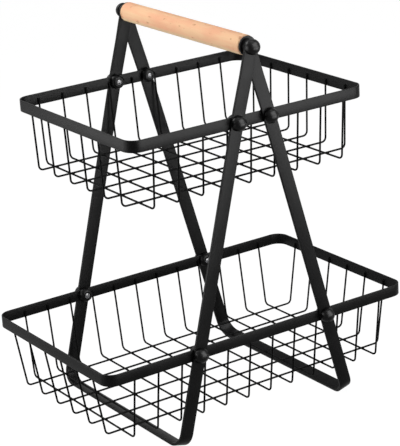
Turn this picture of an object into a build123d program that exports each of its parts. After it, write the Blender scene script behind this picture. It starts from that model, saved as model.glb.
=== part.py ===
from build123d import *
import math
import os
from dataclasses import dataclass

# Two-tier wire basket: two bent flat-bar frames, two wire baskets and a wooden carrying handle.
#
# The long side of the baskets lies along X, the handle lies along Y, and Z is up from the worktop.
# The origin is on the worktop, midway between the feet. All lengths are in millimetres.

# --- Stand: two U-shaped frames of flat bar that lean against each other -------------------------
frame_bar_width = 14.0
frame_bar_thickness = 3.0
frame_lean = 14.8  # degrees between a leg and the upright
handle_axis_height = 390.5  # where the four legs meet, above the worktop
foot_bend_radius = 13.0  # inside of the bend between a leg and its foot bar
slant_margin = 3.0  # from the slanted stretch below a leg's top to the lap and to the knob

# --- What both baskets share ------------------------------------------------------------------------
basket_width = 218.0  # over the rims, front to back
rim_band_height = 12.0
rim_band_thickness = 1.5
rim_corner_radius = 14.0  # outside
wire_diameter = 2.0
wire_bend_radius = 5.0  # to the middle of the wire
wire_weld_length = 6.5  # how far a wire runs up the inside of the rim band
wire_nut_gap = 0.5  # least room between a cross wire and a nut inside the rim
long_wire_count = 6
wire_side_count = 6  # a wire is drawn with this many flat sides
bend_chord_count = 2  # and each of its bends with this many straight steps

# --- Upper basket -----------------------------------------------------------------------------------
upper_rim_length = 278.0
upper_rim_drop = 65.5  # from the handle's axis down to the rim's top edge, hand room
upper_basket_drop = 71.0  # from the rim's top edge to the middle of the long floor wires
upper_end_draw = 2.5  # how far each end wall draws in on its way down
upper_side_draw = 5.0  # how far each side wall draws in on its way down
upper_cross_wire_count = 9
upper_end_margin = 26.5  # from the rim's end to the first cross wire
upper_side_margin = 30.0  # from the rim's side to the first long wire

# --- Lower basket -----------------------------------------------------------------------------------
lower_rim_length = 366.0
lower_rim_top = 102.0  # above the worktop
lower_basket_drop = 74.3
lower_end_draw = 10.0
lower_side_draw = 8.7
lower_cross_wire_count = 12
lower_end_margin = 32.0
lower_side_margin = 31.5

# --- Handle -----------------------------------------------------------------------------------------
handle_diameter = 20.0
handle_end_bevel = 1.2
end_disc_diameter = 19.0
end_disc_thickness = 2.0
insert_diameter = 9.0  # threaded insert in each end of the wood
insert_length = 14.0
insert_fit = 0.02  # between an insert and its bore
insert_bottom_gap = 1.5  # bore left free behind an insert

# --- Fasteners --------------------------------------------------------------------------------------
stud_diameter = 6.0
stud_end_show = 0.6  # how far a stud's bare end stands out of its nut
thread_clearance = 0.05  # round a stud in a thread
bolt_hole_clearance = 0.15  # round a stud in a drilled bar
knob_diameter = 15.5
knob_height = 9.0  # from its seat to the top of the dome
knob_thread_depth = 5.5
stud_end_gap = 0.5  # from a stud's hidden end to the bottom of its thread
nut_diameter = 15.0
nut_height = 6.5
nut_collar_height = 2.0  # straight stretch at the nut's seat
nut_face_diameter = 8.5  # flat round its hole
fastener_side_count = 16  # a knob, nut or stud is drawn with this many flat sides
knob_ring_count = 7  # corners of a knob's outline, from its seat to its crown
knob_crown_angle = 80.0  # degrees from the dome's widest ring to the small flat on its crown
nut_ring_count = 3
cut_overrun = 1.0  # how far a cut's tool starts and ends outside what it cuts

# --- Worked out from the sizes above ----------------------------------------------------------------
lean = math.radians(frame_lean)
half_width = basket_width / 2  # the legs' inner faces lie on this plane
rim_inner_side = half_width - rim_band_thickness
upper_rim_top = handle_axis_height - upper_rim_drop
leg_seat = half_width + frame_bar_thickness  # outer face of a leg that lies on the rims
lap_shift = frame_bar_thickness / 2  # leg tops are set this far forward or back, to lap
lap_seat = leg_seat + lap_shift  # outer face of two lapped leg tops
lap_room = half_width - lap_shift  # and their inner face
foot_run = (handle_axis_height - frame_bar_width / 2 * math.sin(lean)) / math.cos(lean)
lap_run = frame_bar_width / (2 * math.tan(lean))  # along a leg, from the axis to the lap's end
wire_radius = wire_diameter / 2
stud_radius = stud_diameter / 2
thread_radius = stud_radius + thread_clearance
bolt_hole_radius = stud_radius + bolt_hole_clearance
handle_length = 2 * (lap_room - end_disc_thickness)


@dataclass(frozen=True)
class Basket:
    """The sizes of one basket and the places that follow from them."""

    name: str
    rim_length: float
    rim_top: float
    drop: float
    end_draw: float
    side_draw: float
    cross_wire_count: int
    end_margin: float
    side_margin: float

    @property
    def rim_bottom(self):
        return self.rim_top - rim_band_height

    @property
    def bolt_drop(self):
        """Height from the rim's bolts up to the handle's axis."""
        return handle_axis_height - self.rim_top + rim_band_height / 2

    @property
    def bolt_offset(self):
        """Distance along X from the middle to a bolt."""
        return self.bolt_drop * math.tan(lean)

    @property
    def bolt_run(self):
        """Distance along a leg from the handle's axis to a bolt."""
        return self.bolt_drop / math.cos(lean)


upper_basket = Basket(
    name="upper",
    rim_length=upper_rim_length,
    rim_top=upper_rim_top,
    drop=upper_basket_drop,
    end_draw=upper_end_draw,
    side_draw=upper_side_draw,
    cross_wire_count=upper_cross_wire_count,
    end_margin=upper_end_margin,
    side_margin=upper_side_margin,
)
lower_basket = Basket(
    name="lower",
    rim_length=lower_rim_length,
    rim_top=lower_rim_top,
    drop=lower_basket_drop,
    end_draw=lower_end_draw,
    side_draw=lower_side_draw,
    cross_wire_count=lower_cross_wire_count,
    end_margin=lower_end_margin,
    side_margin=lower_side_margin,
)


def make_rim(basket):
    """Closed band with rounded corners, drilled for its four bolts."""
    outside = RectangleRounded(basket.rim_length, basket_width, rim_corner_radius)
    inside = RectangleRounded(
        basket.rim_length - 2 * rim_band_thickness,
        basket_width - 2 * rim_band_thickness,
        rim_corner_radius - rim_band_thickness,
    )
    band = Pos(0, 0, basket.rim_bottom) * extrude(outside - inside, rim_band_height)
    drill = Rot(90, 0, 0) * Cylinder(bolt_hole_radius, 2 * basket_width)
    for side in (-1, 1):
        band -= Pos(side * basket.bolt_offset, 0, handle_axis_height - basket.bolt_drop) * drill
    return band


def make_wire(half_top, draw, floor_height, rim_bottom):
    """One U-shaped wire in the XZ plane, from rim to rim by way of the basket's floor.

    Its ends stand upright against the inside of the rim band, where they are welded. Below the
    band its walls draw in, and a round bend leads each wall into the floor.
    """
    half_floor = half_top - draw
    turn = math.atan2(rim_bottom - floor_height, draw)
    bend_centre = half_floor - wire_bend_radius * math.tan(turn / 2)
    steps = [turn * step / bend_chord_count for step in range(bend_chord_count + 1)]
    right_half = [
        (
            bend_centre + wire_bend_radius * math.sin(angle),
            floor_height + wire_bend_radius * (1 - math.cos(angle)),
        )
        for angle in steps
    ]
    right_half += [(half_top, rim_bottom), (half_top, rim_bottom + wire_weld_length)]
    left_half = [(-x, z) for x, z in reversed(right_half)]
    path = Plane.XZ * Polyline(*left_half, *right_half)
    half_side_angle = 180 / wire_side_count
    outline = RegularPolygon(wire_radius, wire_side_count, False, rotation=half_side_angle)
    section = Plane(path @ 0, x_dir=(1, 0, 0), z_dir=path % 0) * outline
    return sweep(section, path=path, transition=Transition.RIGHT)


def spread(count, span):
    """Places of a row of wires, evenly spaced over a span and centred on the middle."""
    pitch = span / (count - 1)
    return [(index - (count - 1) / 2) * pitch for index in range(count)]


def clear_of_nuts(place, basket):
    """A cross wire's place along the rim, moved aside where it would stand against a nut."""
    reach = nut_diameter / 2 + wire_nut_gap + wire_radius
    for nut_place in (-basket.bolt_offset, basket.bolt_offset):
        if abs(place - nut_place) < reach:
            place = nut_place + math.copysign(reach, place - nut_place)
    return place


def make_wires(basket):
    """The long and cross wires of one basket; the cross wires carry the long ones."""
    half_end = basket.rim_length / 2 - rim_band_thickness - wire_radius
    half_side = rim_inner_side - wire_radius
    long_height = basket.rim_top - basket.drop
    cross_height = long_height - wire_diameter
    long_wire = make_wire(half_end, basket.end_draw, long_height, basket.rim_bottom)
    cross_wire = make_wire(half_side, basket.side_draw, cross_height, basket.rim_bottom)
    cross_wire = Rot(0, 0, 90) * cross_wire
    wires = {}
    rows = spread(long_wire_count, basket_width - 2 * basket.side_margin)
    for number, place in enumerate(rows, start=1):
        wires[f"{basket.name}_long_wire_{number}"] = Pos(0, place, 0) * long_wire
    columns = spread(basket.cross_wire_count, basket.rim_length - 2 * basket.end_margin)
    for number, place in enumerate(columns, start=1):
        column = Pos(clear_of_nuts(place, basket), 0, 0)
        wires[f"{basket.name}_cross_wire_{number}"] = column * cross_wire
    return wires


def leg_line(face, foot_height, shift):
    """One face of a leg, seen along X: up from the foot, over a slanted stretch, to its top."""
    slant_foot = knob_diameter / 2 + slant_margin - upper_basket.bolt_run
    slant_top = -(lap_run + slant_margin)
    return [
        (face, foot_height),
        (face, slant_foot),
        (face + shift, slant_top),
        (face + shift, frame_bar_width / 2),
    ]


def bar_outline(face, foot_height, shift, bend_radius):
    """One side of the bent bar, seen along X: up the rear leg and down the front leg."""
    rear = leg_line(face, foot_height, shift)
    front = leg_line(-face, foot_height, shift)
    outline = make_face(Polyline(*rear, *reversed(front), close=True))
    return fillet(outline.vertices().group_by(Axis.Y)[0], bend_radius)


def make_frame(side):
    """One frame of flat bar, bent to a U: front leg, foot bar and rear leg.

    It is drawn upright, hanging from the handle's axis, then leaned to its side. The leg tops of
    the left frame are set forward and those of the right frame back, so that they lap.
    """
    shift = side * lap_shift
    outer_bend_radius = foot_bend_radius + frame_bar_thickness
    outside = bar_outline(leg_seat, -foot_run, shift, outer_bend_radius)
    inside = bar_outline(half_width, frame_bar_thickness - foot_run, shift, foot_bend_radius)
    bar = extrude(Plane.YZ * (outside - inside), frame_bar_width / 2, both=True)
    front_outline = Pos(0, -foot_run / 2) * Rectangle(frame_bar_width, foot_run)
    front_outline += Circle(frame_bar_width / 2)
    bar &= extrude(Plane.XZ * front_outline, 2 * lap_seat, both=True)
    drill = Rot(90, 0, 0) * Cylinder(bolt_hole_radius, 4 * lap_seat)
    for run in (0, upper_basket.bolt_run, lower_basket.bolt_run):
        bar -= Pos(0, 0, -run) * drill
    return Pos(0, 0, handle_axis_height) * Rot(0, -side * frame_lean, 0) * bar


def make_turned(profile):
    """A turned solid about Z, drawn with flat sides, through (radius, height) pairs."""
    sections = [
        Plane((0, 0, height)) * RegularPolygon(radius, fastener_side_count)
        for radius, height in profile
    ]
    return loft(sections, ruled=True)


def make_rod(radius, bottom, top):
    """A straight rod along Z with the flat sides of the turned fasteners."""
    return Pos(0, 0, bottom) * extrude(RegularPolygon(radius, fastener_side_count), top - bottom)


def make_knob():
    """Domed knob, standing on its seat and pointing up Z, with a blind thread."""
    ball_radius = knob_diameter / 2
    ball_height = knob_height - ball_radius
    seat_angle = -math.asin(ball_height / ball_radius)
    crown_angle = math.radians(knob_crown_angle)
    profile = []
    for ring in range(knob_ring_count):
        angle = seat_angle + (crown_angle - seat_angle) * ring / (knob_ring_count - 1)
        height = ball_height + ball_radius * math.sin(angle)
        profile.append((ball_radius * math.cos(angle), height))
    return make_turned(profile) - make_rod(thread_radius, -cut_overrun, knob_thread_depth)


def make_nut():
    """Domed round nut, standing on its seat and pointing up Z, with an open thread."""
    rim_radius = nut_diameter / 2
    face_radius = nut_face_diameter / 2
    profile = [(rim_radius, 0)]
    for ring in range(nut_ring_count):
        angle = math.pi / 2 * ring / (nut_ring_count - 1)
        radius = face_radius + (rim_radius - face_radius) * math.cos(angle)
        height = nut_collar_height + (nut_height - nut_collar_height) * math.sin(angle)
        profile.append((radius, height))
    thread = make_rod(thread_radius, -cut_overrun, nut_height + cut_overrun)
    return make_turned(profile) - thread


def outward(place_x, seat, height, end):
    """Plane on a seat at the front (end -1) or rear (end 1), facing away from the middle."""
    return Plane(origin=(place_x, end * seat, height), x_dir=(1, 0, 0), z_dir=(0, end, 0))


def make_rim_fasteners(basket):
    """The knobs, studs and nuts that hold the legs to one rim."""
    knob = make_knob()
    nut = make_nut()
    inner_end = frame_bar_thickness + rim_band_thickness + nut_height + stud_end_show
    stud = make_rod(stud_radius, -inner_end, knob_thread_depth - stud_end_gap)
    height = handle_axis_height - basket.bolt_drop
    nodes, nuts, studs = {}, [], []
    for end, end_name in ((-1, "front"), (1, "rear")):
        for side, side_name in ((-1, "left"), (1, "right")):
            place_x = side * basket.bolt_offset
            on_leg = outward(place_x, leg_seat, height, end)
            nodes[f"{basket.name}_{end_name}_{side_name}_knob"] = on_leg * knob
            studs.append(on_leg * stud)
            inside_rim = Plane((place_x, end * rim_inner_side, height), (1, 0, 0), (0, -end, 0))
            nuts.append(inside_rim * nut)
    nodes[f"{basket.name}_studs"] = Compound(children=studs)
    nodes[f"{basket.name}_nuts"] = Compound(children=nuts)
    return nodes


def make_handle():
    """The wooden grip with its end discs, inserts, studs and knobs."""
    grip = Cylinder(handle_diameter / 2, handle_length)
    grip = chamfer(grip.edges().filter_by(GeomType.CIRCLE), handle_end_bevel)
    bore_depth = insert_length + insert_bottom_gap
    bore = Cylinder(insert_diameter / 2 + insert_fit, bore_depth)
    for end in (-1, 1):
        grip -= Pos(0, 0, end * (handle_length - bore_depth) / 2) * bore
    disc = Cylinder(end_disc_diameter / 2, end_disc_thickness)
    disc -= Cylinder(bolt_hole_radius, 2 * end_disc_thickness)
    insert = make_rod(insert_diameter / 2, -insert_length / 2, insert_length / 2)
    insert -= make_rod(thread_radius, -insert_length, insert_length)
    seat_to_grip = lap_seat - handle_length / 2
    stud = make_rod(
        stud_radius,
        stud_end_gap - seat_to_grip - insert_length,
        knob_thread_depth - stud_end_gap,
    )
    knob = make_knob()
    nodes = {"handle_grip": Pos(0, 0, handle_axis_height) * Rot(90, 0, 0) * grip}
    studs = []
    for end, name in ((-1, "front"), (1, "rear")):
        seat = outward(0, lap_seat, handle_axis_height, end)
        disc_depth = lap_seat - lap_room + end_disc_thickness / 2
        insert_depth = seat_to_grip + insert_length / 2
        nodes[f"handle_{name}_disc"] = seat * Pos(0, 0, -disc_depth) * disc
        nodes[f"handle_{name}_insert"] = seat * Pos(0, 0, -insert_depth) * insert
        nodes[f"handle_{name}_knob"] = seat * knob
        studs.append(seat * stud)
    nodes["handle_studs"] = Compound(children=studs)
    return nodes


def make_basket_stand():
    """Every piece of the stand, by its name."""
    nodes = {
        "left_frame": make_frame(-1),
        "right_frame": make_frame(1),
    }
    for basket in (upper_basket, lower_basket):
        nodes[f"{basket.name}_rim"] = make_rim(basket)
        nodes.update(make_wires(basket))
        nodes.update(make_rim_fasteners(basket))
    nodes.update(make_handle())
    return nodes


if __name__ == "__main__":
    os.makedirs("parts", exist_ok=True)
    for name, piece in make_basket_stand().items():
        export_step(piece, f"parts/{name}.step")
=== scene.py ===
"""Looks of a two-tier wire basket stand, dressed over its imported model.

The stand is two U-shaped frames of flat bar, two welded wire baskets and a wooden handle. The long
side of the baskets lies along X, the handle along Y, and Z is up from the worktop. Sizes are in
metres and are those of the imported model, so each piece lies where its plain solid does.
"""

import logging
import math
from dataclasses import dataclass
from enum import Enum

import bmesh
import bpy
import numpy as np
from mathutils import Matrix, Vector

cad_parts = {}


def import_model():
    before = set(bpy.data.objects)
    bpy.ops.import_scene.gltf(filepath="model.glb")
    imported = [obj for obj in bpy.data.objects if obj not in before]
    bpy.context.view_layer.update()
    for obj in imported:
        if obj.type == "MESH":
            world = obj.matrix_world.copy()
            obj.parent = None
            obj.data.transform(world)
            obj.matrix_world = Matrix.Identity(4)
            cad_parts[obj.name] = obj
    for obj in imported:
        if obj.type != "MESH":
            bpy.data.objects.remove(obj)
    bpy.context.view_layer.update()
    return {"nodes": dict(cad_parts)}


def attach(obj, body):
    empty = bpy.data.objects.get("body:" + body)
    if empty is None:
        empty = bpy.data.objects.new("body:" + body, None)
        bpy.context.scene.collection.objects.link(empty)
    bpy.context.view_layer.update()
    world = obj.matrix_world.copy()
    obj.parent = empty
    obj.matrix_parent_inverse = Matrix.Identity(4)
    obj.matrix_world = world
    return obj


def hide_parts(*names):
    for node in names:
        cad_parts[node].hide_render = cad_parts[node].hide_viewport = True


LOG = logging.getLogger("basket_stand")
ROOT_BODY = "root"
MERGE_DISTANCE = 1e-6
SHARP_EDGE = math.radians(38)
BEAD_RINGS = 5
BEAD_SIDES = 8


class Side(Enum):
    """A frame or knob by its side of the stand, as a sign along X."""

    LEFT = -1
    RIGHT = 1


class End(Enum):
    """An end of the handle, or a long side of the baskets, as a sign along Y."""

    FRONT = -1
    REAR = 1


class Slot(Enum):
    """The record's names for the finishes."""

    BAR = "black_bar"
    WIRE = "black_wire"
    KNOB = "black_knob"
    CAP = "black_cap"
    STEEL = "zinc_steel"
    WOOD = "beech"


# --- Surfaces -----------------------------------------------------------------------------------


@dataclass(frozen=True)
class Shell:
    """A surface: points as an (n, 3) array, and faces as tuples of point numbers."""

    points: np.ndarray
    faces: list[tuple[int, ...]]

    def placed(self, matrix: np.ndarray, origin: tuple[float, float, float]) -> "Shell":
        """The same surface turned by a 3 by 3 matrix, then moved to an origin.

        Args:
            matrix: The rotation, whose columns are the new axes.
            origin: Where the surface's own zero goes.

        Returns:
            A new surface.
        """
        return Shell(self.points @ matrix.T + np.array(origin), self.faces)


@dataclass(frozen=True)
class Line:
    """A plane line as points and unit tangents, both (n, 2) arrays."""

    points: np.ndarray
    tangents: np.ndarray

    def in_space(
        self, across: tuple[float, float, float], up: tuple[float, float, float]
    ) -> tuple[np.ndarray, np.ndarray, np.ndarray]:
        """The line's points and tangents in space, and the direction square to its plane.

        Args:
            across: The space direction of the line's first coordinate.
            up: The space direction of its second coordinate.

        Returns:
            Points, tangents, and one unit vector square to both directions.
        """
        axes = np.array([across, up])
        return self.points @ axes, self.tangents @ axes, np.cross(across, up)


def rounded_line(corners: np.ndarray, radii: np.ndarray, steps: int, closed: bool = False) -> Line:
    """A line through corners with a round bend at each.

    A bend of radius r that turns by an angle t starts r * tan(t / 2) before its corner. At an angle
    a into the bend its point lies r * sin(a) along the incoming direction and r * (1 - cos(a))
    towards the side that it turns to.

    Args:
        corners: The corners, as an (n, 2) array.
        radii: One radius for each bend.
        steps: Straight steps in each bend.
        closed: Whether the line returns to its first corner, which then bends too.

    Returns:
        The line, with its two ends when it is open.
    """
    bends = corners if closed else corners[1:-1]
    before = bends - (np.roll(corners, 1, axis=0) if closed else corners[:-2])
    after = (np.roll(corners, -1, axis=0) if closed else corners[2:]) - bends
    ahead = before / np.linalg.norm(before, axis=1, keepdims=True)
    onward = after / np.linalg.norm(after, axis=1, keepdims=True)
    turn = np.arctan2(
        ahead[:, 0] * onward[:, 1] - ahead[:, 1] * onward[:, 0], (ahead * onward).sum(axis=1)
    )
    inward = np.stack([-ahead[:, 1], ahead[:, 0]], axis=1) * np.sign(turn)[:, None]
    start = bends - ahead * (radii * np.tan(np.abs(turn) / 2))[:, None]
    angle = np.abs(turn)[:, None] * np.linspace(0, 1, steps + 1)[None, :]
    sine, cosine = np.sin(angle)[..., None], np.cos(angle)[..., None]
    arc = sine * ahead[:, None, :] + (1 - cosine) * inward[:, None, :]
    points = (start[:, None, :] + radii[:, None, None] * arc).reshape(-1, 2)
    tangents = (cosine * ahead[:, None, :] + sine * inward[:, None, :]).reshape(-1, 2)
    if not closed:
        points = np.concatenate([corners[:1], points, corners[-1:]])
        tangents = np.concatenate([ahead[:1], tangents, onward[-1:]])
    return Line(points, tangents)


def grid_faces(rows: int, columns: int, closed_rows: bool = False) -> list[tuple[int, ...]]:
    """Four-sided faces of a grid whose columns run round a closed section.

    Args:
        rows: Number of sections along the grid.
        columns: Points in each section.
        closed_rows: Whether the last section joins the first.

    Returns:
        The faces as point numbers, row by row.
    """
    row, column = np.meshgrid(
        np.arange(rows if closed_rows else rows - 1), np.arange(columns), indexing="ij"
    )
    next_row, next_column = (row + 1) % rows, (column + 1) % columns
    corners = [
        row * columns + column,
        row * columns + next_column,
        next_row * columns + next_column,
        next_row * columns + column,
    ]
    return [tuple(face) for face in np.stack(corners, axis=-1).reshape(-1, 4).tolist()]


def end_caps(rows: int, columns: int) -> list[tuple[int, ...]]:
    """One face over the first section of a grid and one over its last."""
    last = (rows - 1) * columns
    return [tuple(range(columns))[::-1], tuple(range(last, last + columns))]


def circle_section(radius: float, sides: int) -> np.ndarray:
    """Points of a round section: (r * cos(a), r * sin(a)) for evenly spaced angles a."""
    angle = np.arange(sides) * 2 * np.pi / sides
    return radius * np.stack([np.cos(angle), np.sin(angle)], axis=1)


def band_section(thickness: float, height: float, edge: float, steps: int) -> np.ndarray:
    """Points of a flat band's section, a rectangle with rounded edges.

    Each corner is a quarter circle of the edge radius about a centre that lies that radius inside
    both faces.

    Args:
        thickness: Size along the section's first axis.
        height: Size along its second axis.
        edge: Radius of the rounded edges.
        steps: Straight steps in each edge.

    Returns:
        The points in order round the section.
    """
    angle = np.concatenate(
        [np.linspace(quarter, quarter + 1, steps + 1) for quarter in range(4)]
    ) * (np.pi / 2)
    middle = np.repeat(np.array([[1, 1], [-1, 1], [-1, -1], [1, -1]]), steps + 1, axis=0)
    centre = middle * np.array([thickness / 2 - edge, height / 2 - edge])
    return centre + edge * np.stack([np.cos(angle), np.sin(angle)], axis=1)


def swept(
    places: np.ndarray,
    tangents: np.ndarray,
    square: np.ndarray,
    section: np.ndarray,
    closed: bool = False,
    scale: np.ndarray | None = None,
) -> Shell:
    """A section carried along a plane path.

    A section point (a, b) goes to the path point plus a times the direction that is square to both
    the tangent and the plane's own direction, plus b times the plane's direction.

    Args:
        places: The path's points.
        tangents: Its unit tangents.
        square: The unit direction square to the path's plane.
        section: The section's points, as an (m, 2) array.
        closed: Whether the path is a loop, which has no caps.
        scale: The section's size at each path point, as a share, or None for full size.

    Returns:
        The surface, closed by two caps when the path is open.
    """
    share = np.ones(len(places)) if scale is None else scale
    outward = np.cross(tangents, square)
    first = (share[:, None] * section[None, :, 0])[..., None] * outward[:, None, :]
    second = (share[:, None] * section[None, :, 1])[..., None] * square
    points = (places[:, None, :] + first + second).reshape(-1, 3)
    faces = grid_faces(len(places), len(section), closed)
    if not closed:
        faces += end_caps(len(places), len(section))
    return Shell(points, faces)


def turned(profile: np.ndarray, sides: int, hollow: bool = False) -> Shell:
    """A profile turned about Z: the point (r, h) goes to (r * cos(a), r * sin(a), h).

    Args:
        profile: (radius, height) pairs from one end of the axis to the other, or round a hollow
            section.
        sides: Steps in the full turn.
        hollow: Whether the profile is a closed ring that never meets the axis.

    Returns:
        The surface; points on the axis are merged when it becomes a mesh.
    """
    angle = np.arange(sides) * 2 * np.pi / sides
    ring = np.stack([np.cos(angle), np.sin(angle), np.zeros(sides)], axis=1)
    points = profile[:, None, :1] * ring[None] + profile[:, None, 1:] * np.array([0, 0, 1])
    return Shell(points.reshape(-1, 3), grid_faces(len(profile), sides, hollow))


def rounded_profile(
    corners: list[tuple[float, float]], radii: list[float], steps: int
) -> np.ndarray:
    """A turned piece's outline with small round edges, as (radius, height) pairs."""
    return rounded_line(np.array(corners), np.array(radii), steps).points


def repeated(shell: Shell, places: np.ndarray) -> Shell:
    """One surface that holds a copy of another at each place.

    Args:
        shell: The surface to copy.
        places: Where its zero goes, as an (n, 3) array.

    Returns:
        All the copies as one surface.
    """
    points = (places[:, None, :] + shell.points[None]).reshape(-1, 3)
    count = len(shell.points)
    faces = [
        tuple(corner + copy * count for corner in face)
        for copy in range(len(places))
        for face in shell.faces
    ]
    return Shell(points, faces)


def joined(shells: list[Shell]) -> Shell:
    """Several surfaces as one.

    Args:
        shells: The surfaces, whose points and faces keep their order.

    Returns:
        One surface that holds them all.
    """
    starts = np.cumsum([0] + [len(shell.points) for shell in shells[:-1]])
    faces = [
        tuple(corner + int(start) for corner in face)
        for start, shell in zip(starts, shells)
        for face in shell.faces
    ]
    return Shell(np.concatenate([shell.points for shell in shells]), faces)


def nugget(width: float, depth: float, height: float) -> Shell:
    """A small weld bead: the ball (cos(a), sin(a)) turned about Z and drawn out along each axis.

    Args:
        width: Size along X.
        depth: Size along Y.
        height: Size along Z.

    Returns:
        The bead, with few faces because nearly two hundred copies are made.
    """
    angle = np.linspace(-np.pi / 2, np.pi / 2, BEAD_RINGS)
    ball = turned(np.stack([np.cos(angle), np.sin(angle)], axis=1), BEAD_SIDES)
    return Shell(ball.points * np.array([width, depth, height]) / 2, ball.faces)


# --- Finishes -----------------------------------------------------------------------------------


@dataclass
class NodeSheet:
    """A new material with its node tree and surface shader, and short ways to wire it."""

    name: str

    def __post_init__(self) -> None:
        """Makes the material and puts its object coordinates at hand."""
        self.material = bpy.data.materials.new(self.name)
        self.material.use_nodes = True
        self.tree = self.material.node_tree
        self.shader = self.tree.nodes["Principled BSDF"]
        self.place = self.add("ShaderNodeTexCoord").outputs["Object"]

    def add(self, kind: str, **settings: object) -> bpy.types.Node:
        """A new node of the material.

        Args:
            kind: The node's type.
            settings: Properties to set on it.

        Returns:
            The node.
        """
        node = self.tree.nodes.new(kind)
        for key, value in settings.items():
            setattr(node, key, value)
        return node

    def join(self, output: bpy.types.NodeSocket, target: bpy.types.NodeSocket) -> None:
        """Links an output to an input."""
        self.tree.links.new(output, target)

    def stretched(self, scale: tuple[float, float, float]) -> bpy.types.NodeSocket:
        """Object coordinates, drawn out or pressed together.

        Args:
            scale: What each axis is multiplied by.

        Returns:
            The vector socket.
        """
        mapping = self.add("ShaderNodeMapping")
        mapping.inputs["Scale"].default_value = scale
        self.join(self.place, mapping.inputs["Vector"])
        return mapping.outputs["Vector"]

    def noise(
        self, scale: float, detail: float, where: bpy.types.NodeSocket | None = None
    ) -> bpy.types.NodeSocket:
        """Cloudy values from 0 to 1.

        Args:
            scale: Clouds for each metre.
            detail: Finer clouds within them.
            where: The coordinates, or None for the object's own.

        Returns:
            The noise's value socket.
        """
        node = self.add("ShaderNodeTexNoise")
        node.inputs["Scale"].default_value = scale
        node.inputs["Detail"].default_value = detail
        self.join(where or self.place, node.inputs["Vector"])
        return node.outputs["Fac"]

    def between(
        self, value: bpy.types.NodeSocket, start: float, end: float, low: float, high: float
    ) -> bpy.types.NodeSocket:
        """A value's stretch from start to end mapped onto low to high, and held outside it.

        Args:
            value: The value's socket.
            start: Where the stretch starts.
            end: Where it ends.
            low: What its start becomes.
            high: What its end becomes.

        Returns:
            The new value's socket.
        """
        node = self.add("ShaderNodeMapRange")
        settings = {"From Min": start, "From Max": end, "To Min": low, "To Max": high}
        for name, number in settings.items():
            node.inputs[name].default_value = number
        self.join(value, node.inputs["Value"])
        return node.outputs["Result"]

    def blend(
        self, share: bpy.types.NodeSocket, first: object, second: object
    ) -> bpy.types.NodeSocket:
        """A mix of two colours, each a socket or an RGB triple.

        Args:
            share: How much of the second colour, from 0 to 1.
            first: The first colour.
            second: The second colour.

        Returns:
            The mixed colour's socket.
        """
        node = self.add("ShaderNodeMix", data_type="RGBA")
        self.join(share, node.inputs["Factor"])
        for socket, colour in ((node.inputs[6], first), (node.inputs[7], second)):
            if isinstance(colour, tuple):
                socket.default_value = (*colour, 1.0)
            else:
                self.join(colour, socket)
        return node.outputs[2]

    def relief(self, height: bpy.types.NodeSocket, depth: float, strength: float) -> None:
        """Bump from a height value.

        Args:
            height: The value's socket.
            depth: What its full range stands for, in metres.
            strength: How much of the bump shows, from 0 to 1.
        """
        node = self.add("ShaderNodeBump")
        node.inputs["Distance"].default_value = depth
        node.inputs["Strength"].default_value = strength
        self.join(height, node.inputs["Height"])
        self.join(node.outputs["Normal"], self.shader.inputs["Normal"])


@dataclass(frozen=True)
class BlackCoat:
    """Black paint or moulded plastic: faint clouds in its tone and gloss, fine orange peel."""

    name: str
    slot: Slot
    tone: float
    roughness: float
    specular: float
    peel_depth: float = 0.00002
    peel_scale: float = 900.0
    peel_strength: float = 0.35
    cloud_scale: float = 38.0

    def material(self) -> bpy.types.Material:
        """Builds the finish from nodes.

        Returns:
            The material.
        """
        sheet = NodeSheet(self.name)
        clouds = sheet.noise(self.cloud_scale, 4.0)
        dark = (self.tone * 0.88, self.tone * 0.89, self.tone * 0.92)
        light = (self.tone * 1.1, self.tone * 1.1, self.tone * 1.12)
        share = sheet.between(clouds, 0.3, 0.7, 0.0, 1.0)
        sheet.join(sheet.blend(share, dark, light), sheet.shader.inputs["Base Color"])
        gloss = sheet.between(clouds, 0.3, 0.7, self.roughness * 0.92, self.roughness * 1.08)
        sheet.join(gloss, sheet.shader.inputs["Roughness"])
        sheet.shader.inputs["Specular IOR Level"].default_value = self.specular
        sheet.relief(sheet.noise(self.peel_scale, 2.0), self.peel_depth, self.peel_strength)
        return sheet.material


@dataclass(frozen=True)
class DullZinc:
    """Grey zinc plate over turned steel: fine tool marks and a slightly uneven, soft gloss."""

    name: str = "dull_zinc"
    slot: Slot = Slot.STEEL
    colour: tuple[float, float, float] = (0.30, 0.305, 0.32)
    roughness: float = 0.3
    specular: float = 0.4
    cloud_scale: float = 260.0
    mark_scale: float = 2600.0
    mark_depth: float = 0.00001
    mark_strength: float = 0.3

    def material(self) -> bpy.types.Material:
        """Builds the finish from nodes.

        Returns:
            The material.
        """
        sheet = NodeSheet(self.name)
        clouds = sheet.noise(self.cloud_scale, 3.0)
        dull = tuple(channel * 0.82 for channel in self.colour)
        sheet.join(sheet.blend(clouds, dull, self.colour), sheet.shader.inputs["Base Color"])
        gloss = sheet.between(clouds, 0.3, 0.7, self.roughness * 0.8, self.roughness * 1.3)
        sheet.join(gloss, sheet.shader.inputs["Roughness"])
        sheet.shader.inputs["Specular IOR Level"].default_value = self.specular
        marks = sheet.noise(self.mark_scale, 1.0)
        sheet.relief(marks, self.mark_depth, self.mark_strength)
        return sheet.material


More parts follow.
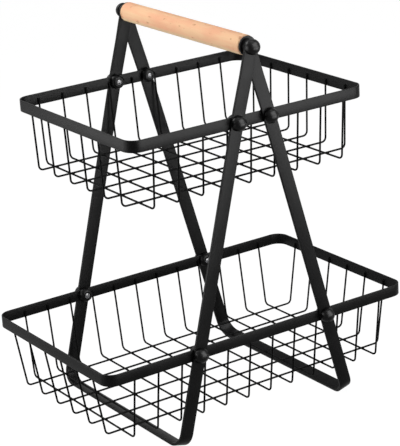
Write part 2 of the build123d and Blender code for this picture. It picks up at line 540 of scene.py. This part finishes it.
@dataclass(frozen=True)
class Beech:
    """Pale beech, grain along Y, with a paler, yellower underside strip of painted light.

    Drawn-out fibres and growth bands lie over broad pink and cream clouds, and short dark rays lie
    in loose groups on top.
    """

    name: str = "pale_beech"
    slot: Slot = Slot.WOOD
    pale: tuple[float, float, float] = (0.91, 0.59, 0.355)
    warm: tuple[float, float, float] = (0.875, 0.45, 0.275)
    fleck: tuple[float, float, float] = (0.56, 0.235, 0.125)
    # Painted light: the tint of the underside strip, and the heights over which it fades out.
    painted_underside_light: tuple[float, float, float] = (0.82, 0.64, 0.40)
    painted_light_heights: tuple[float, float] = (0.3840, 0.3876)
    roughness: float = 0.65
    specular: float = 0.03
    fibre_scale: float = 1500.0
    fibre_depth: float = 0.00006
    fibre_strength: float = 0.4
    cloud_scale: float = 75.0
    band_scale: float = 260.0
    ray_scale: float = 330.0
    group_scale: float = 90.0

    def material(self) -> bpy.types.Material:
        """Builds the finish from nodes.

        Returns:
            The material.
        """
        sheet = NodeSheet(self.name)
        fibres = sheet.noise(self.fibre_scale, 3.0, sheet.stretched((1.0, 0.035, 1.0)))
        clouds = sheet.noise(self.cloud_scale, 2.0, sheet.stretched((1.0, 0.3, 1.0)))
        ground = sheet.blend(sheet.between(clouds, 0.4, 0.6, 0.0, 0.85), self.pale, self.warm)
        bands = sheet.noise(self.band_scale, 3.0, sheet.stretched((1.0, 0.05, 1.0)))
        ground = sheet.blend(sheet.between(bands, 0.45, 0.7, 0.0, 0.45), ground, self.warm)
        height = sheet.add("ShaderNodeSeparateXYZ")
        sheet.join(sheet.place, height.inputs["Vector"])
        # Painted light: below the first height the underside is tinted paler and yellower, fading
        # out by the second.
        edge = sheet.between(height.outputs["Z"], *self.painted_light_heights, 0.8, 0.0)
        ground = sheet.blend(edge, ground, self.painted_underside_light)
        fibre_share = sheet.between(fibres, 0.42, 0.75, 0.0, 0.35)
        ground = sheet.blend(fibre_share, ground, self.warm)
        rays = sheet.noise(self.ray_scale, 1.5, sheet.stretched((1.0, 0.4, 1.0)))
        groups = sheet.noise(self.group_scale, 1.0)
        both = sheet.add("ShaderNodeMath", operation="MULTIPLY")
        sheet.join(sheet.between(rays, 0.61, 0.7, 0.0, 0.65), both.inputs[0])
        sheet.join(sheet.between(groups, 0.5, 0.6, 0.1, 1.0), both.inputs[1])
        ground = sheet.blend(both.outputs["Value"], ground, self.fleck)
        sheet.join(ground, sheet.shader.inputs["Base Color"])
        gloss = sheet.between(fibres, 0.3, 0.7, self.roughness * 0.9, self.roughness * 1.12)
        sheet.join(gloss, sheet.shader.inputs["Roughness"])
        sheet.shader.inputs["Specular IOR Level"].default_value = self.specular
        sheet.relief(fibres, self.fibre_depth, self.fibre_strength)
        return sheet.material


@dataclass(frozen=True)
class Finishes:
    """The stand's finishes, each made once."""

    materials: dict[Slot, bpy.types.Material]

    @classmethod
    def made(cls) -> "Finishes":
        """Makes every finish.

        Returns:
            The finishes, ready to hand out.
        """
        finishes = [
            BlackCoat("satin_black_bar", Slot.BAR, tone=0.005, roughness=0.38, specular=0.04),
            BlackCoat("satin_black_wire", Slot.WIRE, tone=0.003, roughness=0.42, specular=0.015),
            BlackCoat("gloss_black_knob", Slot.KNOB, 0.0025, 0.34, 0.075, peel_depth=0.00001),
            BlackCoat("black_cap_coat", Slot.CAP, 0.003, 0.34, 0.05, peel_depth=0.00001),
            DullZinc(),
            Beech(),
        ]
        return cls({finish.slot: finish.material() for finish in finishes})

    def of(self, slot: Slot) -> bpy.types.Material:
        """The material of one slot."""
        return self.materials[slot]


# --- Pieces -------------------------------------------------------------------------------------


@dataclass(frozen=True)
class Workshop:
    """Turns surfaces into dressed pieces that ride with the stand."""

    finishes: Finishes

    def add(self, name: str, shell: Shell, slot: Slot, nodes: tuple[str, ...] = ()) -> None:
        """Makes one piece of the stand.

        Args:
            name: The piece's name.
            shell: Its surface, in place.
            slot: The finish that it gets.
            nodes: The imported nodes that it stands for.
        """
        mesh = bpy.data.meshes.new(name)
        mesh.from_pydata(shell.points.tolist(), [], shell.faces)
        working = bmesh.new()
        working.from_mesh(mesh)
        bmesh.ops.remove_doubles(working, verts=working.verts, dist=MERGE_DISTANCE)
        bmesh.ops.recalc_face_normals(working, faces=working.faces)
        working.to_mesh(mesh)
        working.free()
        mesh.shade_smooth()
        mesh.set_sharp_from_angle(angle=SHARP_EDGE)
        mesh.materials.append(self.finishes.of(slot))
        piece = bpy.data.objects.new(name, mesh)
        bpy.context.scene.collection.objects.link(piece)
        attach(piece, ROOT_BODY)
        if nodes:
            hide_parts(*nodes)
        LOG.info("%s: %d faces, %s, for %d nodes", name, len(mesh.polygons), slot.value, len(nodes))

    def dress(self, node: bpy.types.Object, slot: Slot) -> None:
        """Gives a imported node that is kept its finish.

        Args:
            node: The node's object.
            slot: The finish that it gets.
        """
        node.data.materials.clear()
        node.data.materials.append(self.finishes.of(slot))
        LOG.info("%s: kept, %s", node.name, slot.value)


@dataclass(frozen=True)
class StandSizes:
    """Sizes that several sub-assemblies share."""

    bar_width: float = 0.014
    bar_thickness: float = 0.003
    lean: float = math.radians(14.8)
    handle_height: float = 0.3905
    basket_width: float = 0.218
    band_height: float = 0.012
    band_thickness: float = 0.0015

    @property
    def half_width(self) -> float:
        """From the middle to the legs' inner faces, along Y."""
        return self.basket_width / 2

    @property
    def leg_seat(self) -> float:
        """From the middle to the outer face of a leg on the rims."""
        return self.half_width + self.bar_thickness

    @property
    def lap_shift(self) -> float:
        """How far a leg's top is set forward or back, so that two tops lap."""
        return self.bar_thickness / 2

    @property
    def lap_seat(self) -> float:
        """From the middle to the outer face of two lapped leg tops."""
        return self.leg_seat + self.lap_shift

    @property
    def lap_room(self) -> float:
        """From the middle to the inner face of two lapped leg tops."""
        return self.half_width - self.lap_shift

    @property
    def rim_inner_side(self) -> float:
        """From the middle to the inner face of a rim's long sides."""
        return self.half_width - self.band_thickness

    def bolt_place(self, rim_top: float) -> tuple[float, float]:
        """Distance along X and height of a rim's bolts."""
        height = rim_top - self.band_height / 2
        return (self.handle_height - height) * math.tan(self.lean), height


def facing(end: End) -> np.ndarray:
    """Axes of a fastener on the front or rear, whose own Z points away from the middle."""
    return np.array([[1, 0, 0], [0, 0, end.value], [0, -end.value, 0]], float)


@dataclass(frozen=True)
class BarFrame:
    """One frame: a flat bar bent to a U and leaned to its side."""

    side: Side
    sizes: StandSizes
    foot_bend: float = 0.0145
    slant_foot: float = -0.0632
    slant_top: float = -0.0295
    slant_bend: float = 0.15
    edge: float = 0.00045
    edge_steps: int = 3
    tip_steps: int = 12
    bend_steps: int = 12

    def middle_line(self) -> Line:
        """The bar's middle line seen along X, from front leg top to rear leg top.

        Heights count from the handle's axis. Below each top the leg slants a little, so that the
        left frame's tops stand forward and the right frame's back. Each end has extra points at
        the places w * (1 - cos(a)), for angles a up to a right angle, where w is half the bar's
        width, so that the rounded leg tops get even steps.

        Returns:
            The line, with its first coordinate along Y and its second along the upright leg.
        """
        sizes = self.sizes
        half = sizes.bar_width / 2
        face = (sizes.half_width + sizes.leg_seat) / 2
        run = (sizes.handle_height - half * math.sin(sizes.lean)) / math.cos(sizes.lean)
        foot = sizes.bar_thickness / 2 - run
        set_over = self.side.value * sizes.lap_shift
        leg = np.array(
            [
                (set_over, half),
                (set_over, self.slant_top),
                (0, self.slant_foot),
                (0, foot),
            ]
        )
        corners = np.concatenate([leg - (face, 0), leg[::-1] + (face, 0)])
        radii = [self.slant_bend, self.slant_bend, self.foot_bend]
        line = rounded_line(corners, np.array(radii + radii[::-1]), self.bend_steps)
        depth = half * (1 - np.cos(np.linspace(0, np.pi / 2, self.tip_steps + 1)))
        front = line.points[0] + depth[:, None] * line.tangents[0]
        rear = line.points[-1] - depth[::-1, None] * line.tangents[-1]
        points = np.concatenate([front, line.points[1:-1], rear])
        count = self.tip_steps + 1
        tangents = np.concatenate(
            [
                np.repeat(line.tangents[:1], count, axis=0),
                line.tangents[1:-1],
                np.repeat(line.tangents[-1:], count, axis=0),
            ]
        )
        return Line(points, tangents)

    def shell(self) -> Shell:
        """The bar as rings of points, one for each point of its middle line.

        Seen on its wide face, the bar's outline is straight but for half circles at both ends. On
        its edges the outline is drawn in by e * (1 - cos(b)) while the thickness grows by
        e * sin(b), for b up to a right angle, where e is the edge radius.

        Returns:
            The bar in place, leaned about the handle's axis.
        """
        sizes = self.sizes
        half = sizes.bar_width / 2
        places, tangents, across = self.middle_line().in_space((0, 1, 0), (0, 0, 1))
        flat = np.full(len(places) - 2 * (self.tip_steps + 1), np.pi / 2)
        tip = np.linspace(0, np.pi / 2, self.tip_steps + 1)
        angle = np.concatenate([tip, flat, np.pi - tip[::-1]])
        bend = np.linspace(0, np.pi / 2, self.edge_steps + 1)
        inset = self.edge * (1 - np.cos(bend))
        level = sizes.bar_thickness / 2 - self.edge + self.edge * np.sin(bend)
        inset = np.concatenate([inset[::-1], inset, inset[::-1], inset])
        level = np.concatenate([-level[::-1], level, level[::-1], -level])
        sign = np.repeat([1.0, -1.0], 2 * (self.edge_steps + 1))
        reach = (half - inset)[None, :] * np.sin(angle)[:, None] * sign[None, :]
        shift = inset[None, :] * np.cos(angle)[:, None]
        through = np.cross(tangents, across)
        points = (
            places[:, None, :]
            + reach[..., None] * across
            + shift[..., None] * tangents[:, None, :]
            + level[None, :, None] * through[:, None, :]
        ).reshape(-1, 3)
        sine, cosine = math.sin(sizes.lean), math.cos(sizes.lean)
        lean = np.array(
            [[cosine, 0, -self.side.value * sine], [0, 1, 0], [self.side.value * sine, 0, cosine]]
        )
        faces = grid_faces(len(places), len(level))
        return Shell(points, faces).placed(lean, (0, 0, sizes.handle_height))

    def build(self, workshop: Workshop) -> None:
        """Adds the frame."""
        name = f"{self.side.name.lower()}_frame"
        workshop.add(f"{name}_bar", self.shell(), Slot.BAR, (name,))


@dataclass(frozen=True)
class WireBasket:
    """One basket: a band, two layers of bent wires and their welds."""

    name: str
    sizes: StandSizes
    rim_length: float
    rim_top: float
    drop: float
    end_draw: float
    side_draw: float
    cross_wires: int
    end_margin: float
    side_margin: float
    long_wires: int = 6
    wire: float = 0.002
    wire_bend: float = 0.005
    collar_bend: float = 0.004
    weld_length: float = 0.0065
    corner: float = 0.014
    corner_steps: int = 16
    band_edge: float = 0.0004
    band_edge_steps: int = 3
    wire_sides: int = 14
    wire_bend_steps: int = 9
    tip_length: float = 0.00025
    tip_share: float = 0.75
    floor_weld: tuple[float, float, float] = (0.0025, 0.0025, 0.0018)
    rim_weld: tuple[float, float, float] = (0.0033, 0.0019, 0.0034)
    rim_weld_drop: float = 0.0008
    rim_weld_inset: float = 0.0004

    @property
    def rim_bottom(self) -> float:
        """Height of the band's lower edge."""
        return self.rim_top - self.sizes.band_height

    @property
    def long_height(self) -> float:
        """Height of the long wires' middle on the floor."""
        return self.rim_top - self.drop

    @property
    def cross_height(self) -> float:
        """Height of the cross wires' middle on the floor."""
        return self.long_height - self.wire

    @property
    def half_end(self) -> float:
        """From the middle to a long wire's end, along X."""
        return self.rim_length / 2 - self.sizes.band_thickness - self.wire / 2

    @property
    def half_side(self) -> float:
        """From the middle to a cross wire's end, along Y."""
        return self.sizes.rim_inner_side - self.wire / 2

    def rows(self) -> np.ndarray:
        """Places of the long wires along Y."""
        reach = self.sizes.half_width - self.side_margin
        return np.linspace(-reach, reach, self.long_wires)

    def columns(self) -> np.ndarray:
        """Places of the cross wires along X."""
        reach = self.rim_length / 2 - self.end_margin
        return np.linspace(-reach, reach, self.cross_wires)

    def band(self) -> Shell:
        """The rim: a band section carried round a rectangle with round corners.

        Returns:
            The band in place.
        """
        inset = self.sizes.band_thickness / 2
        reach = np.array([self.rim_length / 2, self.sizes.half_width]) - inset
        corners = np.array([(-1, -1), (1, -1), (1, 1), (-1, 1)]) * reach
        radii = np.full(4, self.corner - inset)
        line = rounded_line(corners, radii, self.corner_steps, closed=True)
        places, tangents, square = line.in_space((1, 0, 0), (0, 1, 0))
        thickness, height = self.sizes.band_thickness, self.sizes.band_height
        section = band_section(thickness, height, self.band_edge, self.band_edge_steps)
        loop = swept(places, tangents, square, section, closed=True)
        return loop.placed(np.eye(3), (0, 0, self.rim_top - height / 2))

    def bent_wire(self, half_top: float, draw: float, floor: float) -> Shell:
        """A wire in the XZ plane: up against the band, down a wall, across the floor and back up.

        Each end is drawn in to a share of the wire's radius over its last short stretch.

        Args:
            half_top: From the middle to the wire's ends.
            draw: How far each wall draws in on its way down.
            floor: Height of the wire's middle on the floor.

        Returns:
            The wire's surface.
        """
        top = self.rim_bottom + self.weld_length
        right = [(half_top - draw, floor), (half_top, self.rim_bottom), (half_top, top)]
        corners = np.array([(-x, z) for x, z in reversed(right)] + right)
        bends = [self.collar_bend, self.wire_bend, self.wire_bend, self.collar_bend]
        line = rounded_line(corners, np.array(bends), self.wire_bend_steps)
        ends = line.points[[0, -1]] + np.array([0, -self.tip_length])
        points = np.concatenate(
            [line.points[:1], ends[:1], line.points[1:-1], ends[1:], line.points[-1:]]
        )
        tangents = line.tangents[[0, *range(len(line.tangents)), -1]]
        scale = np.ones(len(points))
        scale[[0, -1]] = self.tip_share
        places, ahead, square = Line(points, tangents).in_space((1, 0, 0), (0, 0, 1))
        section = circle_section(self.wire / 2, self.wire_sides)
        return swept(places, ahead, square, section, scale=scale)

    def crossings(self) -> Shell:
        """The spots where long and cross wires are welded together on the floor.

        Returns:
            One bead at each crossing, halfway between the two layers.
        """
        x, y = np.meshgrid(self.columns(), self.rows(), indexing="ij")
        height = np.full(x.size, (self.long_height + self.cross_height) / 2)
        places = np.stack([x.ravel(), y.ravel(), height], axis=1)
        return repeated(nugget(*self.floor_weld), places)

    def rim_welds(self) -> Shell:
        """The beads that hold the wires' ends to the band's inner face.

        Returns:
            The beads on both long sides, then those on both ends.
        """
        height = self.rim_bottom + self.weld_length - self.rim_weld_drop
        side = self.sizes.rim_inner_side - self.rim_weld_inset
        end = self.rim_length / 2 - self.sizes.band_thickness - self.rim_weld_inset
        sign = np.array([[-1], [1]])
        along = np.stack(np.broadcast_arrays(self.columns(), sign * side, height), axis=-1)
        across = np.stack(np.broadcast_arrays(sign * end, self.rows(), height), axis=-1)
        width, depth, tall = self.rim_weld
        return joined(
            [
                repeated(nugget(width, depth, tall), along.reshape(-1, 3)),
                repeated(nugget(depth, width, tall), across.reshape(-1, 3)),
            ]
        )

    def build(self, workshop: Workshop) -> None:
        """Adds the band, each wire, and the welds.

        Args:
            workshop: Where the pieces are made.
        """
        workshop.add(f"{self.name}_band", self.band(), Slot.BAR, (f"{self.name}_rim",))
        long_wire = self.bent_wire(self.half_end, self.end_draw, self.long_height)
        for number, place in enumerate(self.rows(), start=1):
            node = f"{self.name}_long_wire_{number}"
            shell = long_wire.placed(np.eye(3), (0, place, 0))
            workshop.add(f"{node}_round", shell, Slot.WIRE, (node,))
        cross_wire = self.bent_wire(self.half_side, self.side_draw, self.cross_height)
        quarter_turn = np.array([[0, -1, 0], [1, 0, 0], [0, 0, 1]], float)
        for number, place in enumerate(self.columns(), start=1):
            node = f"{self.name}_cross_wire_{number}"
            shell = cross_wire.placed(quarter_turn, (place, 0, 0))
            workshop.add(f"{node}_round", shell, Slot.WIRE, (node,))
        workshop.add(f"{self.name}_floor_welds", self.crossings(), Slot.WIRE)
        workshop.add(f"{self.name}_rim_welds", self.rim_welds(), Slot.WIRE)


@dataclass(frozen=True)
class Fasteners:
    """The ball knobs, studs and domed nuts, and the turned shapes that they share."""

    sizes: StandSizes
    stud: float = 0.006
    stud_show: float = 0.0006
    stud_end_gap: float = 0.0005
    thread_gap: float = 0.00005
    knob: float = 0.0155
    knob_height: float = 0.009
    knob_thread: float = 0.0055
    nut: float = 0.015
    nut_height: float = 0.0065
    nut_collar: float = 0.002
    nut_face: float = 0.0085
    nut_bevel: float = 0.0003
    mouth_bevel: float = 0.0004
    stud_bevel: float = 0.0004
    stud_crown: float = 0.0005
    sides: int = 40
    knob_points: int = 22
    dome_points: int = 12
    crown_points: int = 6

    def ball_knob(self) -> Shell:
        """A ball cut flat at its seat, with a blind thread.

        Its outline is (r * cos(a), c + r * sin(a)) about a centre at height c, from the angle at
        which it meets the seat up to a right angle.

        Returns:
            The knob, standing on its seat and pointing up Z.
        """
        radius = self.knob / 2
        centre = self.knob_height - radius
        start = -math.asin(centre / radius)
        angle = np.linspace(start, np.pi / 2, self.knob_points)
        ball = np.stack([radius * np.cos(angle), centre + radius * np.sin(angle)], axis=1)
        thread = self.stud / 2 + self.thread_gap
        ball[0, 1] = 0.0
        blind = np.array([(0, self.knob_thread), (thread, self.knob_thread), (thread, 0)])
        return turned(np.concatenate([blind, ball]), self.sides)

    def domed_nut(self) -> Shell:
        """A round nut with a straight collar, a domed top and an open thread.

        The dome is a quarter of an ellipse, (f + (r - f) * cos(a), c + (h - c) * sin(a)), from the
        collar's radius r and height c to the top face's radius f and the nut's height h.

        Returns:
            The nut, standing on its seat and pointing up Z.
        """
        rim, face = self.nut / 2, self.nut_face / 2
        hole = self.stud / 2 + self.thread_gap
        angle = np.linspace(0, np.pi / 2, self.dome_points)
        dome = np.stack(
            [
                face + (rim - face) * np.cos(angle),
                self.nut_collar + (self.nut_height - self.nut_collar) * np.sin(angle),
            ],
            axis=1,
        )
        bevel, mouth_bevel = self.nut_bevel, self.mouth_bevel
        seat = np.array([(hole, 0), (rim - bevel, 0), (rim, bevel)])
        mouth = np.array(
            [(hole + mouth_bevel, self.nut_height), (hole, self.nut_height - mouth_bevel)]
        )
        return turned(np.concatenate([seat, dome, mouth]), self.sides, hollow=True)

    def rod(self, bottom: float, top: float) -> Shell:
        """A stud along Z with bevelled, crowned ends.

        At the share t of its radius a crown stands k * (1 - t^2) high, where k is its full height.

        Args:
            bottom: Height of its lower end.
            top: Height of its upper end.

        Returns:
            The stud.
        """
        radius, bevel, crown = self.stud / 2, self.stud_bevel, self.stud_crown
        share = np.linspace(0, 1, self.crown_points)
        cap = np.stack([(radius - bevel) * share, crown * (1 - share**2)], axis=1)
        low = np.stack([cap[:, 0], bottom + crown - cap[:, 1]], axis=1)
        high = np.stack([cap[::-1, 0], top - crown + cap[::-1, 1]], axis=1)
        sides = np.array([(radius, bottom + crown + bevel), (radius, top - crown - bevel)])
        return turned(np.concatenate([low, sides, high]), self.sides)

    def build_rim_bolts(self, workshop: Workshop, basket: WireBasket) -> None:
        """Adds the four knobs, studs and nuts of one rim.

        Args:
            workshop: Where the pieces are made.
            basket: The basket whose rim is bolted.
        """
        offset, height = self.sizes.bolt_place(basket.rim_top)
        grip = self.sizes.bar_thickness + self.sizes.band_thickness
        stud = self.rod(
            -(grip + self.nut_height + self.stud_show), self.knob_thread - self.stud_end_gap
        )
        studs, nuts = [], []
        for end in End:
            opposite = End.REAR if end is End.FRONT else End.FRONT
            for side in Side:
                place = side.value * offset
                seat = (place, end.value * self.sizes.leg_seat, height)
                inside = (place, end.value * self.sizes.rim_inner_side, height)
                node = f"{basket.name}_{end.name.lower()}_{side.name.lower()}_knob"
                knob = self.ball_knob().placed(facing(end), seat)
                workshop.add(f"{node}_ball", knob, Slot.KNOB, (node,))
                studs.append(stud.placed(facing(end), seat))
                nuts.append(self.domed_nut().placed(facing(opposite), inside))
        for kind, shells, slot in (("studs", studs, Slot.STEEL), ("nuts", nuts, Slot.CAP)):
            node = f"{basket.name}_{kind}"
            workshop.add(f"{node}_turned", joined(shells), slot, (node,))


@dataclass(frozen=True)
class Handle:
    """The turned grip, its end discs and its knobs."""

    sizes: StandSizes
    fasteners: Fasteners
    grip: float = 0.020
    grip_bevel: float = 0.0012
    disc: float = 0.019
    disc_thickness: float = 0.002
    disc_hole: float = 0.0063
    insert: float = 0.009
    insert_fit: float = 0.00002
    insert_length: float = 0.014
    insert_gap: float = 0.0015
    sides: int = 72
    edge_steps: int = 4

    @property
    def half_grip(self) -> float:
        """Half the grip's length."""
        return self.sizes.lap_room - self.disc_thickness

    def grip_shell(self) -> Shell:
        """The grip: an outline with rounded bevels and a bore in each end, turned about Z.

        Returns:
            The grip, standing upright about its middle.
        """
        radius, bevel = self.grip / 2, self.grip_bevel
        bore = self.insert / 2 + self.insert_fit
        floor = self.half_grip - self.insert_length - self.insert_gap
        corners = [(0, -floor), (bore, -floor), (bore, -self.half_grip)]
        corners += [(radius - bevel, -self.half_grip), (radius, -self.half_grip + bevel)]
        corners += [(r, -h) for r, h in reversed(corners)]
        radii = [0.0, 0.0002, 0.0006, 0.0008]
        profile = rounded_profile(corners, radii + radii[::-1], self.edge_steps)
        return turned(profile, self.sides)

    def disc_shell(self) -> Shell:
        """A flat disc: a rectangle with softened corners, turned about Z round a hole.

        Returns:
            The disc, lying flat about its middle.
        """
        outer, hole, half = self.disc / 2, self.disc_hole / 2, self.disc_thickness / 2
        corners = np.array([(hole, -half), (outer, -half), (outer, half), (hole, half)])
        radii = np.array([0.0001, 0.0004, 0.0004, 0.0001])
        outline = rounded_line(corners, radii, self.edge_steps, closed=True).points
        return turned(outline, self.sides, hollow=True)

    def build(self, workshop: Workshop, nodes: dict[str, bpy.types.Object]) -> None:
        """Adds the handle's pieces.

        Args:
            workshop: Where the pieces are made.
            nodes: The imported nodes, for the inserts, which stay as they are.
        """
        height = self.sizes.handle_height
        lying = facing(End.REAR)
        grip = self.grip_shell().placed(lying, (0, 0, height))
        workshop.add("handle_grip_turned", grip, Slot.WOOD, ("handle_grip",))
        reach = self.sizes.lap_seat - self.half_grip + self.insert_length
        tip = self.fasteners.knob_thread - self.fasteners.stud_end_gap
        stud = self.fasteners.rod(self.fasteners.stud_end_gap - reach, tip)
        studs = []
        for end in End:
            name = f"handle_{end.name.lower()}"
            seat = (0, end.value * self.sizes.lap_seat, height)
            middle = (0, end.value * (self.half_grip + self.disc_thickness / 2), height)
            knob = self.fasteners.ball_knob().placed(facing(end), seat)
            workshop.add(f"{name}_knob_ball", knob, Slot.KNOB, (f"{name}_knob",))
            disc = self.disc_shell().placed(facing(end), middle)
            workshop.add(f"{name}_disc_turned", disc, Slot.CAP, (f"{name}_disc",))
            studs.append(stud.placed(facing(end), seat))
            workshop.dress(nodes[f"{name}_insert"], Slot.STEEL)
        workshop.add("handle_studs_turned", joined(studs), Slot.STEEL, ("handle_studs",))


# --- Studio -------------------------------------------------------------------------------------


@dataclass(frozen=True)
class Softbox:
    """One soft lamp, aimed at a point on the stand's middle line.

    Its place is given as a compass angle about that line (0 is in front of the long side, 90 to its
    right), an angle above the level, and a distance, all from the point that it is aimed at. A lamp
    that doesn't light matt surfaces shows in the gloss only.
    """

    name: str
    azimuth: float
    elevation: float
    distance: float
    aim_height: float
    width: float
    height: float
    power: float
    lights_matt: bool = True

    def build(self) -> None:
        """Adds the lamp, out of the camera's sight."""
        azimuth, elevation = math.radians(self.azimuth), math.radians(self.elevation)
        level = math.cos(elevation)
        outward = Vector(
            (math.sin(azimuth) * level, -math.cos(azimuth) * level, math.sin(elevation))
        )
        data = bpy.data.lights.new(self.name, "AREA")
        data.shape = "RECTANGLE"
        data.size, data.size_y = self.width, self.height
        data.energy = self.power
        lamp = bpy.data.objects.new(self.name, data)
        lamp.rotation_euler = outward.to_track_quat("Z", "Y").to_euler()
        lamp.location = Vector((0, 0, self.aim_height)) + outward * self.distance
        lamp.visible_camera = False
        lamp.visible_diffuse = self.lights_matt
        bpy.context.scene.collection.objects.link(lamp)


@dataclass(frozen=True)
class Studio:
    """A plain pale floor and surround, soft lamps and the camera."""

    azimuth: float = math.radians(-33.2042)
    elevation: float = math.radians(19.1723)
    roll: float = math.radians(-3.4792)
    target: tuple[float, float, float] = (0.00424, 0.0, 0.184)
    distance: float = 1.9305
    lens: float = 151.42
    sensor: float = 36.0
    floor_radius: float = 6.0
    floor_sides: int = 64
    floor_tone: float = 0.86
    floor_glow: float = 1.1
    glow_share: float = 0.9
    ambient: float = 0.0

    def camera(self) -> None:
        """Adds the camera at the photograph's place and angle."""
        back = Vector(
            (
                math.sin(self.azimuth) * math.cos(self.elevation),
                -math.cos(self.azimuth) * math.cos(self.elevation),
                math.sin(self.elevation),
            )
        )
        right = (-back).cross(Vector((0, 0, 1))).normalized()
        up = right.cross(-back)
        tilted_right = right * math.cos(self.roll) + up * math.sin(self.roll)
        tilted_up = up * math.cos(self.roll) - right * math.sin(self.roll)
        data = bpy.data.cameras.new("view")
        data.lens, data.sensor_width = self.lens, self.sensor
        data.clip_start, data.clip_end = 0.05, 50.0
        camera = bpy.data.objects.new("view", data)
        turn = Matrix((tilted_right, tilted_up, back)).transposed().to_4x4()
        place = Vector(self.target) + back * self.distance
        camera.matrix_world = Matrix.Translation(place) @ turn
        bpy.context.scene.collection.objects.link(camera)
        bpy.context.scene.camera = camera

    @staticmethod
    def seen_share(nodes: bpy.types.Nodes, links: bpy.types.NodeLinks) -> bpy.types.NodeSocket:
        """A socket that is 1 for camera, glossy and transmission rays and 0 for the rest.

        Args:
            nodes: The nodes of the tree that it is made in.
            links: That tree's links.

        Returns:
            The socket.
        """
        path = nodes.new("ShaderNodeLightPath")
        share = path.outputs["Is Camera Ray"]
        for name in ("Is Glossy Ray", "Is Transmission Ray"):
            either = nodes.new("ShaderNodeMath")
            either.operation = "MAXIMUM"
            links.new(share, either.inputs[0])
            links.new(path.outputs[name], either.inputs[1])
            share = either.outputs[0]
        return share

    def surround(self) -> None:
        """Sets a surround that looks white, also in the gloss, and lights no matt surface."""
        world = bpy.data.worlds.new("surround")
        world.use_nodes = True
        nodes, links = world.node_tree.nodes, world.node_tree.links
        background = nodes["Background"]
        background.inputs["Color"].default_value = (1.0, 1.0, 1.0, 1.0)
        strength = nodes.new("ShaderNodeMapRange")
        strength.inputs["To Min"].default_value = self.ambient
        strength.inputs["To Max"].default_value = 1.0
        links.new(self.seen_share(nodes, links), strength.inputs["Value"])
        links.new(strength.outputs["Result"], background.inputs["Strength"])
        bpy.context.scene.world = world

    def floor(self) -> None:
        """Adds the floor: nearly all glow where it is seen, so its shadow is barely visible."""
        material = bpy.data.materials.new("pale_floor")
        material.use_nodes = True
        nodes, links = material.node_tree.nodes, material.node_tree.links
        matt = nodes["Principled BSDF"]
        tone = self.floor_tone
        matt.inputs["Base Color"].default_value = (tone, tone, tone, 1.0)
        matt.inputs["Roughness"].default_value = 0.9
        matt.inputs["Specular IOR Level"].default_value = 0.1
        glow = nodes.new("ShaderNodeEmission")
        glow.inputs["Strength"].default_value = self.floor_glow
        mix = nodes.new("ShaderNodeMixShader")
        share = nodes.new("ShaderNodeMapRange")
        share.inputs["To Max"].default_value = self.glow_share
        links.new(self.seen_share(nodes, links), share.inputs["Value"])
        links.new(share.outputs["Result"], mix.inputs["Fac"])
        links.new(matt.outputs["BSDF"], mix.inputs[1])
        links.new(glow.outputs["Emission"], mix.inputs[2])
        links.new(mix.outputs["Shader"], nodes["Material Output"].inputs["Surface"])
        angle = np.arange(self.floor_sides) * 2 * np.pi / self.floor_sides
        ring = self.floor_radius * np.stack([np.cos(angle), np.sin(angle), 0 * angle], axis=1)
        mesh = bpy.data.meshes.new("floor")
        mesh.from_pydata(ring.tolist(), [], [tuple(range(self.floor_sides))])
        mesh.materials.append(material)
        floor = bpy.data.objects.new("floor", mesh)
        bpy.context.scene.collection.objects.link(floor)

    @staticmethod
    def softboxes() -> list[Softbox]:
        """The lamps: three that light the stand, and five that only show in its gloss.

        Returns:
            The lamps, in the order in which they are added.
        """
        return [
            Softbox("top_softbox", 0, 90, 1.0, 0.35, 0.7, 0.7, 7.3),
            Softbox("high_left_softbox", -90, 50, 1.1, 0.35, 0.7, 0.7, 1.5),
            Softbox("left_softbox", -113, 0, 1.1, 0.48, 0.75, 0.25, 8.4),
            Softbox("low_left_strip", -112, 0, 0.7, 0.17, 0.72, 0.26, 4.6, False),
            Softbox("low_right_strip", 20, 0, 0.8, 0.18, 0.92, 0.28, 15.0, False),
            Softbox("right_strip", 20, 0, 0.8, 0.36, 0.92, 0.28, 7.5, False),
            Softbox("front_softbox", 16, 40, 1.1, 0.25, 1.2, 0.9, 58.0, False),
            Softbox("rear_left_softbox", -157, 33, 1.1, 0.38, 0.6, 0.45, 8.0, False),
        ]

    def build(self) -> None:
        """Adds the camera, the surround, the floor and the lamps."""
        bpy.context.scene.view_settings.view_transform = "Standard"
        self.camera()
        self.surround()
        self.floor()
        for softbox in self.softboxes():
            softbox.build()
        LOG.info("studio: camera, surround, floor and lamps")


def basket_stand(sizes: StandSizes) -> tuple[WireBasket, WireBasket]:
    """The two baskets with their sizes.

    Args:
        sizes: The sizes that they share with the rest of the stand.

    Returns:
        The upper and the lower basket.
    """
    upper = WireBasket(
        name="upper",
        sizes=sizes,
        rim_length=0.278,
        rim_top=0.325,
        drop=0.071,
        end_draw=0.0025,
        side_draw=0.005,
        cross_wires=9,
        end_margin=0.0265,
        side_margin=0.030,
    )
    lower = WireBasket(
        name="lower",
        sizes=sizes,
        rim_length=0.366,
        rim_top=0.102,
        drop=0.0743,
        end_draw=0.010,
        side_draw=0.0087,
        cross_wires=12,
        end_margin=0.032,
        side_margin=0.0315,
    )
    return upper, lower


def main() -> None:
    """Builds the studio and every piece."""
    logging.basicConfig(level=logging.INFO, format="%(name)s: %(message)s")
    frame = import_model()
    Studio().build()
    workshop = Workshop(Finishes.made())
    sizes = StandSizes()
    fasteners = Fasteners(sizes)
    for side in Side:
        BarFrame(side, sizes).build(workshop)
    for basket in basket_stand(sizes):
        basket.build(workshop)
        fasteners.build_rim_bolts(workshop, basket)
    Handle(sizes, fasteners).build(workshop, frame["nodes"])


if __name__ == "__main__":
    main()
